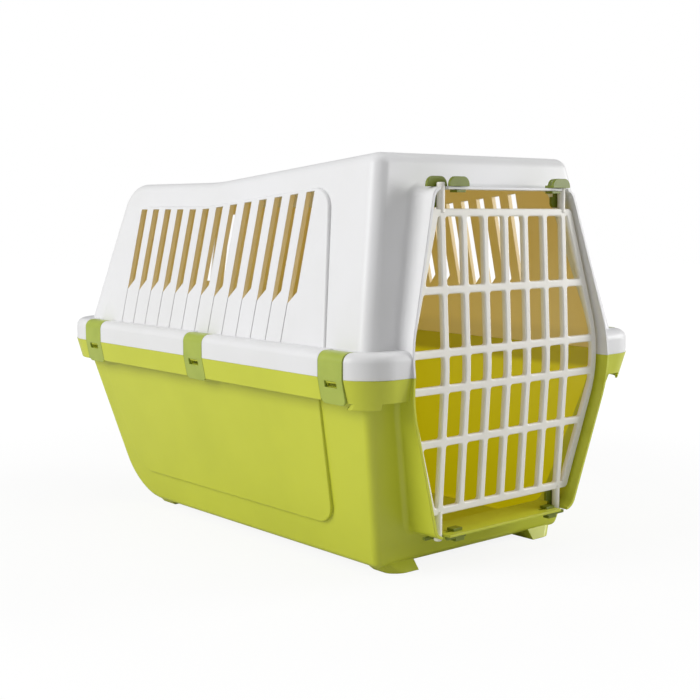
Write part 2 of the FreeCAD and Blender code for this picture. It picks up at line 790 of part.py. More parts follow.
def upper_shell():
    outer = lid_form("lid", "0")
    roofed = lid_form("lid_again", "0")
    cavity = lid_form("lid_inside", "wall")
    add_collar(outer, "lid_collar", "waist_top", "collar_top", "collar_top_width / 2", "collar_top_setback",
               lid_front)
    crest = "roof_rear - lid_panel_drop + roof_slope * (roof_break + lid_panel_front - lid_panel_lean)"
    points = [("-lid_panel_front", "parting_height"),
              ("-(lid_panel_front - lid_panel_lean)", crest, "panel_corner"),
              ("roof_break", "roof_rear - lid_panel_drop", "roof_blend"),
              ("roof_end - lid_panel_rear", "roof_rear - lid_panel_drop", "panel_corner"),
              ("body_rear - lid_panel_rear", "parting_height")]
    panel = raised_panel(
        "lid_panel", "parting_height", "roof_front",
        ("body_half + lid_panel_foot_proud", "body_front", "body_rear"),
        ("body_half - lid_side_lean + lid_panel_proud", "body_front - lid_front_lean",
         "body_rear - lid_rear_lean"), points, "lid_panel_round")
    panel_core = leaning_block(
        "lid_panel_core", "parting_height", "roof_front",
        ("body_half + lid_panel_foot_proud - score_depth", "body_front", "body_rear"),
        ("body_half - lid_side_lean + lid_panel_proud - score_depth", "body_front", "body_rear"))
    whole = fuse("lid_whole", outer, panel, flange_hood(True))
    rear_slots = [box("rear_slot_" + side, about(signed(sign, "rear_slot_spread"), "rear_slot_width / 2"),
                      ("body_rear / 2", "rim_end"), ("rear_slot_foot", "rear_slot_foot + rear_slot_height"))
                  for side, sign in sides.items()]
    hollowed = cut("lid_hollowed", whole, cavity, opening, vent_slots(), score_lines(panel_core), clip_beds,
                   *clip_holes, *rear_slots, *collar_cuts("top"))
    basin = box("basin", about("0", "recess_half + wall"), about("0", "recess_end + wall"),
                ("recess_floor - wall", "roof_front"))
    bosses = []
    for way, sign in (("front", -1), ("rear", 1)):
        start = "recess_end" if sign > 0 else "-(recess_end + boss_length)"
        bosses.append(rod(way + "_boss", "Y", ("handle_axis", start, "handle_height"),
                          "boss_radius", "boss_length"))
    lining = common("basin_under_roof", fuse("basin_block", basin, *bosses), roofed)
    lined = fuse("lid_lined", hollowed, lining)
    space = new_body("recess")
    sketch = outline(space, "recess_outline", "XY_Plane", [
        ("-recess_half", "-recess_end"), ("recess_half", "-recess_end"),
        ("recess_half", "recess_end"), ("-recess_half", "recess_end")], offset="recess_floor")
    pad(space, "recess_space", sketch, "roof_front - recess_floor", "One side")
    tall = space.Shape.BoundBox.ZLength - slack
    round_edges(space, "recess_plan", "recess_round", lambda e: e.ZLength > tall)
    pin_holes = [rod(way + "_pin_hole", "Y", ("handle_axis", start, "handle_height"),
                     "handle_pin_radius", "boss_length - wall")
                 for way, start in (("front", "-(recess_end + boss_length - wall)"), ("rear", "recess_end"))]
    return cut("upper_shell", lined, space, *pin_holes)


# Door: a bowed grid of flat bars inside a frame that follows the collar, with a pin at each end of the
# outer bars.
def door_grille():
    def frame(inset):
        halves = ("door_rim_half", "door_top_half", "door_foot_half")
        rim, top, foot = ("%s - (%s)" % (half, inset) for half in halves)
        return [(minus(rim), "waist_foot", "collar_bend"), (minus(rim), "waist_top", "collar_bend"),
                (minus(top), "door_top - (%s)" % inset), (top, "door_top - (%s)" % inset),
                (rim, "waist_top", "collar_bend"), (rim, "waist_foot", "collar_bend"),
                (foot, "door_foot + " + inset), (minus(foot), "door_foot + " + inset)]
    edge = frame("0")
    inner = frame("bar_width")
    border = new_body("door_border")
    pad(border, "door_border_block", outline(border, "door_border_outline", "XZ_Plane", edge, inner,
                                             offset="pin_set"), "4 * front_reach")
    whole = new_body("door_area")
    pad(whole, "door_area_block", outline(whole, "door_area_outline", "XZ_Plane", edge, offset="pin_set"),
        "4 * front_reach")
    bars = []
    depth = about("-pin_set", "2 * front_reach")
    for n in range(int(value("bar_count"))):
        middle = "bar_pitch * (%d - (bar_count - 1) / 2)" % n
        bars.append(box("upright_%d" % (n + 1), about(middle, "bar_width / 2"), depth,
                        ("door_foot", "door_top")))
    for name, level in (("upper_far", "parting_height + rail_upper_far"),
                        ("upper_near", "parting_height + rail_upper_near"),
                        ("lower_near", "parting_height - rail_lower_near"),
                        ("lower_far", "parting_height - rail_lower_far")):
        bars.append(box("rail_" + name, about("0", "door_rim_half"), depth, about(level, "bar_width / 2")))
    bow = new_body("door_bow_slab")
    front = "pin_set + bar_depth / 2"
    back = "pin_set - bar_depth / 2"
    slab = outline(bow, "door_bow_outline", "YZ_Plane", [
        (minus(front), "door_foot"), ("-(%s + door_bow)" % front, "parting_height"),
        (minus(front), "door_top"), (minus(back), "door_top"),
        ("-(%s + door_bow)" % back, "parting_height"), (minus(back), "door_foot")])
    pad(bow, "door_bow_block", slab, "rim_width")
    grid = common("door_grid", fuse("door_bars", border, *bars), bow, whole)
    pins = []
    for side, sign in sides.items():
        across = signed(sign, "pin_spread")
        pins.append(rod("top_pin_" + side, "Z", (across, "-pin_set", "door_top - bar_width"), "pin_radius",
                        "collar_top + pin_rise - door_top + bar_width"))
        pins.append(rod("bottom_pin_" + side, "Z", (across, "-pin_set", "collar_foot - pin_rise"),
                        "pin_radius", "door_foot + bar_width - collar_foot + pin_rise"))
    return fuse("door_grille", grid, *pins)


# Keeper: an ear outside the collar and a shield inside it, joined by a neck in the back of the pin's notch.
# The ears under the collar are low.
def pin_keeper(end, side):
    sign = ends[end]
    level = "collar_top" if sign > 0 else "collar_foot"
    middle = signed(sides[side], "pin_spread")
    rise, bend = ("keeper_rise", "keeper_round") if sign > 0 else ("low_ear_rise", "low_ear_round")
    neck = "notch_half - slide_clear / 2"
    ear = "keeper_width / 2"
    shield = "keeper_shield / 2"
    start = "-(collar_wall + shield_sink)"
    stop = "-(collar_wall + %s - shield_gap)" % ("door_headroom" if sign > 0 else "door_footroom")

    def at(half, way, height):
        return ("%s %s (%s)" % (middle, way, half), "%s + %s" % (level, signed(sign, height)))
    body = new_body("pin_keeper_%s_%s" % (end, side))
    sketch = outline(body, body.Name + "_outline", "XZ_Plane", [
        at(ear, "-", rise) + (bend,), at(ear, "+", rise) + (bend,),
        at(ear, "+", "0"), at(neck, "+", "0"), at(neck, "+", start), at(shield, "+", start),
        at(shield, "+", stop) + ("shield_round",), at(shield, "-", stop) + ("shield_round",),
        at(shield, "-", start), at(neck, "-", start), at(neck, "-", "0"), at(ear, "-", "0")],
        offset="keeper_back + keeper_thick / 2")
    pad(body, body.Name + "_plate", sketch, "keeper_thick")
    return body


# Lock slide: a thumb ear that passes in front of the pin, a plate on the collar, a stem and a foot under it.
# The bottom pair have a low ear and a stub for the thumb.
# The left pair rest open and the right pair rest shut.
def lock_slider(end, side):
    sign = ends[end]
    way = sides[side]
    level = "collar_top" if sign > 0 else "collar_foot"
    shift = "0" if way > 0 else "slide_travel"
    middle = signed(way, "slide_home - " + shift)
    stem = signed(way, "stem_home - " + shift)
    body = new_body("lock_slider_%s_%s" % (end, side))

    def up(height):
        return "%s + %s" % (level, signed(sign, height))

    def piece(name, across, depth, low, high, rounded=()):
        (left, right), (back, front) = across, depth
        sketch = outline(body, body.Name + name + "_outline", "XZ_Plane", [
            (left, up(low)), (right, up(low)),
            (right, up(high)) + rounded, (left, up(high)) + rounded],
            offset="(%s + %s) / 2" % (back, front))
        pad(body, body.Name + name, sketch, "%s - (%s)" % (front, back))
    lift = "slide_clear + slide_plate"
    under = "-(collar_wall + slide_clear)"
    rise, bend = ("slide_rise", "slide_round") if sign > 0 else ("low_ear_rise", "low_ear_round")
    piece("_ear", about(middle, "slide_half"), ("slide_back", "slide_front"),
          "slide_clear", "slide_clear + " + rise, (bend,))
    piece("_plate", on_side(way, "slide_home - %s - slide_half" % shift,
                            "pin_spread - pin_radius - keeper_gap - " + shift),
          ("keeper_front + 2 * keeper_gap", "slide_front"), "slide_clear", lift)
    piece("_stem", about(stem, "stem_width / 2"), about("pin_set", "stem_thick / 2"),
          under + " - slide_plate", lift)
    piece("_foot", about(stem, "stem_width / 2 + stem_foot"), about("pin_set", "stem_thick / 2 + stem_foot"),
          under + " - slide_plate", under)
    if sign < 0:
        piece("_stub", about(stem, "stub_width / 2"), ("pin_set", "slide_front"), "slide_clear", "stub_rise")
    return body


# Clip: a strap over the flange that turns on a barrel with trunnions, with a window for the nib.
def rim_clip(side, place):
    sign = sides[side]
    middle = stations[place]
    body = new_body("rim_clip_%s_%s" % (side, place))
    foot = "flange_foot - clip_tab"
    slant = "skirt_lean * (flange_lower + clip_tab) / flange_lower"
    inner_top = "clip_top - clip_thick"
    outer = "clip_half + clip_thick"
    points = [("clip_axis", inner_top), ("clip_half", inner_top), ("clip_half", "parting_height"),
              ("clip_half - " + slant, foot), (outer + " - " + slant, foot), (outer, "parting_height"),
              (outer, "clip_top"), ("clip_axis", "clip_top")]
    sketch = outline(body, body.Name + "_profile", "XZ_Plane", [(signed(sign, u), v) for u, v in points],
                     offset=minus(middle))
    pad(body, body.Name + "_strap", sketch, "clip_width")
    inner_level = value(inner_top)
    outer_level = value("clip_top")
    inner_far = value("clip_half")
    outer_far = value(outer)

    def corner(e, far, level):
        along = e.XLength + e.ZLength < slack
        return along and abs(abs(e.XMin) - far) < slack and abs(e.ZMin - level) < slack
    round_edges(body, body.Name + "_bend", "flange_round - clip_sink + clip_clear",
                lambda e: corner(e, inner_far, inner_level))
    round_edges(body, body.Name + "_shoulder", "flange_round - clip_sink + clip_clear + clip_thick",
                lambda e: corner(e, outer_far, outer_level))
    tip = value(foot)
    round_edges(body, body.Name + "_tab", "clip_round",
                lambda e: e.YLength + e.ZLength < slack and abs(e.ZMin - tip) < slack)
    for part, radius, length in (("_barrel", "barrel_radius", "clip_width"),
                                 ("_trunnions", "trunnion_radius", "clip_width + 2 * trunnion_length")):
        ring = circle(body, body.Name + part + "_circle", "XZ_Plane", signed(sign, "clip_axis"),
                      "clip_axis_height", radius, offset=minus(middle))
        pad(body, body.Name + part, ring, length)
    left, right = about(middle, "window_width / 2")
    top = "parting_height - window_drop"
    window = outline(body, body.Name + "_window_outline", "YZ_Plane", [
        (left, top + " - window_height"), (right, top + " - window_height"), (right, top), (left, top)],
        offset=signed(sign, "rim_half"))
    pocket(body, body.Name + "_window", window, "side_reach")
    return body


# Handle: a U-shaped bail that lies in the recess and turns on pins through the ends of its legs.
def carry_handle():
    body = new_body("carry_handle")
    free = "handle_axis - handle_thick / 2"
    far = free + " + handle_reach"
    inside = far + " - handle_grip"
    gap = "handle_half - handle_leg"
    sketch = outline(body, "handle_outline", "XY_Plane", [
        (free, "-handle_half"), (far, "-handle_half"), (far, "handle_half"), (free, "handle_half"),
        (free, gap), (inside, gap), (inside, minus(gap)), (free, minus(gap))], offset="handle_height")
    pad(body, "handle_bail", sketch, "handle_thick")
    tall = body.Shape.BoundBox.ZLength - slack
    corner = value(far) - slack
    round_edges(body, "handle_corners", "handle_corner", lambda e: e.ZLength > tall and e.XMin > corner)
    turn = value(inside)
    round_edges(body, "handle_inner_corners", "handle_corner / 2",
                lambda e: e.ZLength > tall and abs(e.XMin - turn) < slack)
    end = value(free) + slack
    round_edges(body, "handle_leg_ends", "handle_thick / 2 - handle_pin_clear",
                lambda e: e.XMax < end and e.YLength > 1)
    round_edges(body, "handle_edges", "handle_round",
                lambda e: e.ZLength < slack and e.XMax > value("handle_axis") + 1)
    bore = circle(body, "handle_bore_circle", "XZ_Plane", "handle_axis", "handle_height",
                  "handle_pin_radius + handle_pin_clear")
    pocket(body, "handle_bore", bore, "2 * recess_length")
    return body


def handle_pin(way):
    start = "recess_end + boss_length - wall - handle_pin_length" if way == "rear" else \
        "-(recess_end + boss_length - wall)"
    return rod("handle_pin_" + way, "Y", ("handle_axis", start, "handle_height"), "handle_pin_radius",
               "handle_pin_length")


opening = doorway()
clip_beds, clip_holes = clip_cuts()
made = [lower_shell(), upper_shell(), door_grille()]
made += [pin_keeper(end, side) for end in ends for side in sides]
made += [lock_slider(end, side) for end in ends for side in sides]
made += [rim_clip(side, place) for side in sides for place in stations]
made += [carry_handle(), handle_pin("front"), handle_pin("rear")]
recompute()

for part in made:
    part.Label = part.Name
    if part.Shape.isNull() or not part.Shape.isValid():
        raise RuntimeError("%s has no valid shape" % part.Name)
os.makedirs("parts", exist_ok=True)
for part in made:
    part.Shape.exportStep("parts/%s.step" % part.Label)
    print("%-28s %8.1f cm3, %d solid" % (part.Label, part.Shape.Volume / 1000, len(part.Shape.Solids)))
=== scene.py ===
import json
import math
import bmesh
import bpy
import numpy as np
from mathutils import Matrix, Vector


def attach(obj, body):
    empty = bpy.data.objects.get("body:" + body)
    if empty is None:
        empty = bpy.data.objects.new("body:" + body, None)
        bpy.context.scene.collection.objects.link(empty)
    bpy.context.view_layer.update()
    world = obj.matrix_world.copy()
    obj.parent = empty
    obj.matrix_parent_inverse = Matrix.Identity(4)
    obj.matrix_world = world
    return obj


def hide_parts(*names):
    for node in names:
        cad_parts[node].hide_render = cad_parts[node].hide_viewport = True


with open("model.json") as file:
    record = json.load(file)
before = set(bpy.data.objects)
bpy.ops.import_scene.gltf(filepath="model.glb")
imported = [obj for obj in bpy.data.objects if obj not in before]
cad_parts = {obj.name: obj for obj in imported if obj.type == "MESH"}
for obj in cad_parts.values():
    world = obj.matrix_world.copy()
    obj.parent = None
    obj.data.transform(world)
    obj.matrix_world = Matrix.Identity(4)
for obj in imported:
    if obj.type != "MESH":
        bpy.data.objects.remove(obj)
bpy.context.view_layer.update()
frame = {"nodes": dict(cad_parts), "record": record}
nodes = frame["nodes"]
scene = bpy.context.scene
weldDistance = 1e-6  # points closer than this are one point
print("frame: %d nodes" % len(nodes))


# the turn of a camera or a lamp that looks along a direction
def facing(direction):
    return direction.to_track_quat("-Z", "Y").to_euler()


# camera at the photograph's viewing angle, its place and heading from the fitted perspective
view = {"place": (-0.9111, -1.0824, 0.3511), "yaw": 40.73, "pitch": 6.42,
        "lens": 63.67, "sensor": 36, "nearest": 0.01}
camData = bpy.data.cameras.new("camera")
camData.lens = view["lens"]
camData.sensor_width = view["sensor"]
camData.clip_start = view["nearest"]
cam = bpy.data.objects.new("camera", camData)
scene.collection.objects.link(cam)
yaw, pitch = math.radians(view["yaw"]), math.radians(view["pitch"])
ahead = Vector((math.sin(yaw) * math.cos(pitch), math.cos(yaw) * math.cos(pitch), -math.sin(pitch)))
cam.location = view["place"]
cam.rotation_euler = facing(ahead)
scene.camera = cam
print("camera: %.1f mm lens" % camData.lens)


# feeds the sockets of a shader node: another node's output is linked, anything else is a value
def wire(tree, node, sockets):
    for socket, source in sockets.items():
        if isinstance(source, bpy.types.NodeSocket):
            tree.links.new(source, node.inputs[socket])
        else:
            node.inputs[socket].default_value = source


# a new shader node with its settings and its sockets fed
def addNode(tree, kind, sockets, **settings):
    node = tree.nodes.new(kind)
    for setting, choice in settings.items():
        setattr(node, setting, choice)
    wire(tree, node, sockets)
    return node


# what all the finishes share
moulding = {"cloudDetail": 3, "cloudFrom": 0.35, "cloudTo": 0.65, "grainDetail": 2, "grainHeight": 0.0004,
            "glossSpread": 0.06, "edgeSamples": 4, "ior": 1.48}


# moulded plastic: a base colour with faint flow clouds, fine spark-eroded grain and softened edges;
# its inner faces, marked by an attribute, get a painted warmer colour and a painted glow, standing in for
# light that comes through the thin wall and bounces inside, with less glow where the rims of two mouldings
# lie behind each other
def mouldedPlastic(name, look):
    mat = bpy.data.materials.new(name)
    mat.use_nodes = True
    tree = mat.node_tree
    shader = tree.nodes["Principled BSDF"]
    place = addNode(tree, "ShaderNodeTexCoord", {}).outputs["Object"]
    clouds = addNode(tree, "ShaderNodeTexNoise", {
        "Vector": place, "Scale": look["cloudScale"], "Detail": moulding["cloudDetail"]})
    spread = addNode(tree, "ShaderNodeMapRange", {
        "Value": clouds.outputs["Fac"], "From Min": moulding["cloudFrom"], "From Max": moulding["cloudTo"]})
    tint = addNode(tree, "ShaderNodeMix", {
        "Factor": spread.outputs["Result"], "A": look["shade"] + (1,), "B": look["colour"] + (1,)},
        data_type="RGBA")
    colour = tint.outputs["Result"]
    # painted light: a warmer colour and an emission glow on the marked inner faces stand in for light
    # through the wall
    if "inner" in look:
        mark = addNode(tree, "ShaderNodeAttribute", {}, attribute_name="inner").outputs["Fac"]
        paintedWarm = addNode(tree, "ShaderNodeMix", {
            "Factor": mark, "A": colour, "B": look["inner"] + (1,)}, data_type="RGBA")
        colour = paintedWarm.outputs["Result"]
        height = addNode(tree, "ShaderNodeSeparateXYZ", {"Vector": place}).outputs["Z"]
        single = addNode(tree, "ShaderNodeMapRange", {
            "Value": height, "From Min": look["doubled"], "From Max": look["single"],
            "To Min": look["least"]})
        paintedGlowShare = addNode(tree, "ShaderNodeMath", {
            0: mark, 1: single.outputs["Result"]}, operation="MULTIPLY")
        wire(tree, shader, {
            "Emission Color": look["through"] + (1,), "Emission Strength": paintedGlowShare.outputs["Value"]})
    grain = addNode(tree, "ShaderNodeTexNoise", {
        "Vector": place, "Scale": look["grainScale"], "Detail": moulding["grainDetail"]}).outputs["Fac"]
    gloss = addNode(tree, "ShaderNodeMapRange", {
        "Value": grain, "To Min": look["rough"] - moulding["glossSpread"],
        "To Max": look["rough"] + moulding["glossSpread"]})
    edge = addNode(tree, "ShaderNodeBevel", {"Radius": look["edge"]}, samples=moulding["edgeSamples"])
    bump = addNode(tree, "ShaderNodeBump", {
        "Strength": look["grainDepth"], "Distance": moulding["grainHeight"],
        "Height": grain, "Normal": edge.outputs["Normal"]})
    wire(tree, shader, {
        "Base Color": colour, "Roughness": gloss.outputs["Result"], "Normal": bump.outputs["Normal"],
        "IOR": moulding["ior"]})
    return mat


# doubled and single are the heights between which the painted glow goes from its least share to the whole of
# it;
# the steel of the handle's pins, which hardly show, is a plain grey
finishes = {
    "lime_shell": {"colour": (0.62, 0.66, 0.05), "shade": (0.58, 0.62, 0.045), "rough": 0.36,
                   "edge": 0.0012, "cloudScale": 9, "grainScale": 900, "grainDepth": 0.12,
                   # painted light: the inner colour and the glow colour of each shell are painted bounce and
                   # through-light, not the plastic's own colour
                   "inner": (0.56, 0.53, 0.008), "through": (0.17, 0.15, 0.0),
                   "doubled": 0.182, "single": 0.176, "least": 0},
    "white_shell": {"colour": (0.82, 0.82, 0.83), "shade": (0.79, 0.79, 0.79), "rough": 0.42,
                    "edge": 0.0012, "cloudScale": 9, "grainScale": 900, "grainDepth": 0.12,
                    "inner": (0.74, 0.62, 0.38), "through": (0.11, 0.074, 0.018),
                    "doubled": 0.214, "single": 0.224, "least": 0.5},
    # the door's white is lighter than the shells' white: part of that lightness is painted light standing in
    # for lamp light on the door
    "door_white": {"colour": (0.90, 0.88, 0.81), "shade": (0.87, 0.85, 0.78), "rough": 0.42,
                   "edge": 0.0008, "cloudScale": 20, "grainScale": 1200, "grainDepth": 0.10},
    "lock_green": {"colour": (0.20, 0.25, 0.02), "shade": (0.17, 0.21, 0.015), "rough": 0.35,
                   "edge": 0.0006, "cloudScale": 40, "grainScale": 1500, "grainDepth": 0.10},
    "clip_green": {"colour": (0.42, 0.50, 0.08), "shade": (0.38, 0.46, 0.07), "rough": 0.34,
                   "edge": 0.0007, "cloudScale": 40, "grainScale": 1500, "grainDepth": 0.10},
    "pin_steel": {"colour": (0.55, 0.55, 0.55), "shade": (0.5, 0.5, 0.5), "rough": 0.3,
                  "edge": 0.0004, "cloudScale": 60, "grainScale": 2500, "grainDepth": 0.05},
}
plastics = {name: mouldedPlastic(name, look) for name, look in finishes.items()}
for part in frame["record"]["subparts"]:
    for holder in nodes[part["node"]].material_slots:
        holder.material = plastics[part["material_slot"]]
print("materials: %d" % len(plastics))


# a corner is blunt where half its angle, in radians, is above bluntFrom; an arc takes up sideShare of the
# shorter side at most
rounding = {"bluntFrom": 1.35, "sideShare": 0.48, "steps": 6}


# a convex outline with its corners rounded: each corner becomes an arc that touches both its sides, at
# radius / tan(half the corner's angle) from the corner, or nearer where the sides are short
def roundedLoop(corners, radius, bluntRadius):
    corners = np.asarray(corners, float)
    back = np.roll(corners, 1, axis=0) - corners
    onward = np.roll(corners, -1, axis=0) - corners
    backLength = np.linalg.norm(back, axis=1)
    onwardLength = np.linalg.norm(onward, axis=1)
    back /= backLength[:, None]
    onward /= onwardLength[:, None]
    half = np.arccos(np.clip((back * onward).sum(1), -1, 1)) / 2
    wanted = np.where(half > rounding["bluntFrom"], bluntRadius, radius)
    reach = np.minimum(wanted / np.tan(half), rounding["sideShare"] * np.minimum(backLength, onwardLength))
    middle = back + onward
    middle /= np.linalg.norm(middle, axis=1)[:, None]
    centre = corners + middle * (reach / np.cos(half))[:, None]
    start = corners + back * reach[:, None] - centre
    stop = corners + onward * reach[:, None] - centre
    first = np.arctan2(start[:, 1], start[:, 0])
    turn = (np.arctan2(stop[:, 1], stop[:, 0]) - first + np.pi) % (2 * np.pi) - np.pi
    angle = first[:, None] + turn[:, None] * np.linspace(0, 1, rounding["steps"])
    arm = np.linalg.norm(start, axis=1)[:, None]
    ring = np.stack([centre[:, :1] + arm * np.cos(angle), centre[:, 1:] + arm * np.sin(angle)], axis=-1)
    return ring.reshape(-1, 2)


# what of a convex outline lies within another one, which runs anticlockwise: it is cut along each edge in
# turn, and nothing is left where fewer than three points remain
def clipped(outline, window):
    points = np.asarray(outline, float)
    for start, stop in zip(window, np.roll(window, -1, axis=0)):
        along = stop - start
        side = along[0] * (points[:, 1] - start[1]) - along[1] * (points[:, 0] - start[0])
        kept = []
        for n in range(len(points)):
            if side[n - 1] * side[n] < 0:
                share = side[n - 1] / (side[n - 1] - side[n])
                kept.append(points[n - 1] + share * (points[n] - points[n - 1]))
            if side[n] >= 0:
                kept.append(points[n])
        points = np.array(kept)
        if len(points) < 3:
            return None
    return points


# a flat plate from closed outlines, the first its edge and the others holes, with a rounded rim on both
# faces
def flatPlate(name, loops, thick, rim, rimSteps=2):
    curve = bpy.data.curves.new(name + "Outline", "CURVE")
    curve.dimensions = "2D"
    curve.fill_mode = "BOTH"
    curve.extrude = thick / 2 - rim
    curve.bevel_depth = rim
    curve.bevel_resolution = rimSteps
    curve.offset = -rim
    for loop in loops:
        spline = curve.splines.new("POLY")
        spline.points.add(len(loop) - 1)
        flat = np.column_stack([loop, np.zeros(len(loop)), np.ones(len(loop))])
        spline.points.foreach_set("co", flat.ravel())
        spline.use_cyclic_u = True
    holder = bpy.data.objects.new(name + "Outline", curve)
    scene.collection.objects.link(holder)
    mesh = bpy.data.meshes.new_from_object(holder.evaluated_get(bpy.context.evaluated_depsgraph_get()))
    bpy.data.objects.remove(holder)
    shape = bmesh.new()
    shape.from_mesh(mesh)
    bmesh.ops.remove_doubles(shape, verts=shape.verts, dist=weldDistance)
    bmesh.ops.recalc_face_normals(shape, faces=shape.faces)
    shape.to_mesh(mesh)
    shape.free()
    mesh.name = name
    return mesh


# a round rod along Z: a profile of radius r and height turned about the axis, x = r cos a and y = r sin a
# from the centre, closed by a flat face at each end
def turned(profile, centre, steps=24):
    radius, height = np.asarray(profile, float).T
    angle = np.linspace(0, 2 * np.pi, steps, endpoint=False)
    x = centre[0] + radius[:, None] * np.cos(angle)
    y = centre[1] + radius[:, None] * np.sin(angle)
    verts = np.stack([x, y, np.repeat(height[:, None], steps, 1)], axis=-1).reshape(-1, 3)
    rows, cols = np.meshgrid(np.arange(len(radius) - 1) * steps, np.arange(steps), indexing="ij")
    after = (cols + 1) % steps
    quads = np.stack([rows + cols, rows + after, rows + steps + after, rows + steps + cols], axis=-1)
    caps = [tuple(range(steps))[::-1], tuple(range((len(radius) - 1) * steps, len(radius) * steps))]
    return verts, [tuple(quad) for quad in quads.reshape(-1, 4).tolist()] + caps


# makes a finished mesh a piece that rides on a body, in place of a solid
def makePiece(name, mesh, slot, body, replaced):
    mesh.materials.append(plastics[slot])
    piece = bpy.data.objects.new(name, mesh)
    scene.collection.objects.link(piece)
    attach(piece, body)
    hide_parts(replaced)


# places a mesh by a function of its points
def settle(mesh, place):
    points = np.empty(len(mesh.vertices) * 3)
    mesh.vertices.foreach_get("co", points)
    mesh.vertices.foreach_set("co", place(points.reshape(-1, 3)).ravel())
    mesh.update()


# clean shading for a mesh of triangles: neighbours that turn less than the flat angle join into one face,
# a large such face keeps its own normal up to its edge, and the bends next to it take that normal over
# where they touch it
def smoothed(mesh, smoothAngle, flatAngle, flatArea):
    count = len(mesh.polygons)
    normal, area = np.empty(count * 3), np.empty(count)
    corner, edge = np.empty(count * 3, int), np.empty(count * 3, int)
    mesh.polygons.foreach_get("normal", normal)
    mesh.polygons.foreach_get("area", area)
    mesh.loops.foreach_get("vertex_index", corner)
    mesh.loops.foreach_get("edge_index", edge)
    normal = normal.reshape(-1, 3)
    owner = np.repeat(np.arange(count), 3)
    order = np.argsort(edge, kind="stable")
    meets = np.flatnonzero(edge[order][:-1] == edge[order][1:])
    one, two = owner[order][meets], owner[order][meets + 1]
    joined = (normal[one] * normal[two]).sum(1) > math.cos(math.radians(flatAngle))
    one, two = one[joined], two[joined]
    label, before = np.arange(count), None
    while before is None or (label != before).any():  # each face takes the least label of those it joins
        before = label.copy()
        least = np.minimum(label[one], label[two])
        np.minimum.at(label, one, least)
        np.minimum.at(label, two, least)
        label = label[label]
    sums = np.zeros((count, 3))
    np.add.at(sums, label, normal * area[:, None])
    large = np.bincount(label, area, count)[label] > flatArea
    own = np.where(large[:, None], sums[label], normal)
    own /= np.linalg.norm(own, axis=1)[:, None]
    made = own[owner]
    byPoint = np.argsort(corner, kind="stable")
    limit = math.cos(math.radians(smoothAngle))
    for group in np.split(byPoint, np.flatnonzero(np.diff(corner[byPoint])) + 1):
        faces = owner[group]
        alike = own[faces] @ own[faces].T
        for n in np.flatnonzero(~large[faces]):
            near = alike[n] > limit
            flats = np.flatnonzero(near & large[faces])
            if len(flats):
                made[group[n]] = own[faces[flats[alike[n][flats].argmax()]]]
            else:
                total = (own[faces[near]] * area[faces[near]][:, None]).sum(0)
                made[group[n]] = total / np.linalg.norm(total)
    mesh.shade_smooth()
    mesh.normals_split_custom_set(made.tolist())


# shells: copies of the two mouldings with the faces marked that get the painted inner colour and painted
# glow. A face is marked where its normal leans towards the middle of the cabin and it lies inside the outer
# planes; the handle's recess is left out. The cut sides of the vent slots get the painted glow as well.
# Half width and ends of each moulding at height z run straight from the rim to the roof or the base.
shells = {"cabin": (0.10, 0.15, 0.29),  # half length, lowest and highest point of its middle
          "lean": 0.3, "skin": 0.0011, "smooth": 30, "flat": 0.3, "flatArea": 3e-4,
          "recess": (0.042, 0.097, 0.3575),  # half width, half length and floor
          "slots": (-0.150, 0.180, 0.255),  # first, last and lowest point
          "slotWall": 0.003, "slotLean": 0.8,
          "lid": {"node": "upper_shell", "slot": "white_shell", "rim": 0.200, "end": 0.407,
                  "half": (0.185, 0.135), "front": (-0.260, -0.2235), "rear": (0.253, 0.210)},
          "tub": {"node": "lower_shell", "slot": "lime_shell", "rim": 0.200, "end": 0.010,
                  "half": (0.185, 0.133), "front": (-0.260, -0.219), "rear": (0.253, 0.219)}}
for name in ("lid", "tub"):
    shell = shells[name]
    shape = bmesh.new()
    shape.from_mesh(nodes[shell["node"]].data)
    bmesh.ops.remove_doubles(shape, verts=shape.verts, dist=weldDistance)
    mesh = bpy.data.meshes.new(name + "Shell")
    shape.to_mesh(mesh)
    shape.free()
    smoothed(mesh, shells["smooth"], shells["flat"], shells["flatArea"])
    count = len(mesh.polygons)
    middle, normal = np.empty(count * 3), np.empty(count * 3)
    mesh.polygons.foreach_get("center", middle)
    mesh.polygons.foreach_get("normal", normal)
    middle, normal = middle.reshape(-1, 3), normal.reshape(-1, 3)
    x, y, z = middle.T
    up = (z - shell["rim"]) / (shell["end"] - shell["rim"])
    spans = [shell[side] for side in ("half", "front", "rear")]
    half, front, rear = (first + up * (last - first) for first, last in spans)
    cabinHalf, low, high = shells["cabin"]
    core = np.stack([0 * x, np.clip(y, -cabinHalf, cabinHalf), np.clip(z, low, high)], axis=-1) - middle
    lean = (normal * core).sum(1) / np.linalg.norm(core, axis=1)
    skin = shells["skin"]
    within = (np.abs(x) < half - skin) & (y > front + skin) & (y < rear - skin) & (up < 1) & (up > 0)
    across, along, recessFloor = shells["recess"]
    recess = (np.abs(x) < across) & (np.abs(y) < along) & (z > recessFloor)
    firstSlot, lastSlot, slotFoot = shells["slots"]
    cutSide = (np.abs(normal[:, 1]) > shells["slotLean"]) & (np.abs(x) > half - shells["slotWall"])
    cutSide &= (y > firstSlot) & (y < lastSlot) & (z > slotFoot)
    # painted light mask: these faces get the painted inner colour and the painted glow
    inner = ((lean > shells["lean"]) & within & ~recess) | cutSide
    mesh.attributes.new("inner", "FLOAT", "FACE").data.foreach_set("value", inner.astype(np.float32))
    makePiece(name + "Shell", mesh, shell["slot"], "carrier_body", shell["node"])
    print("%s: %d faces, %d inside" % (name, count, inner.sum()))

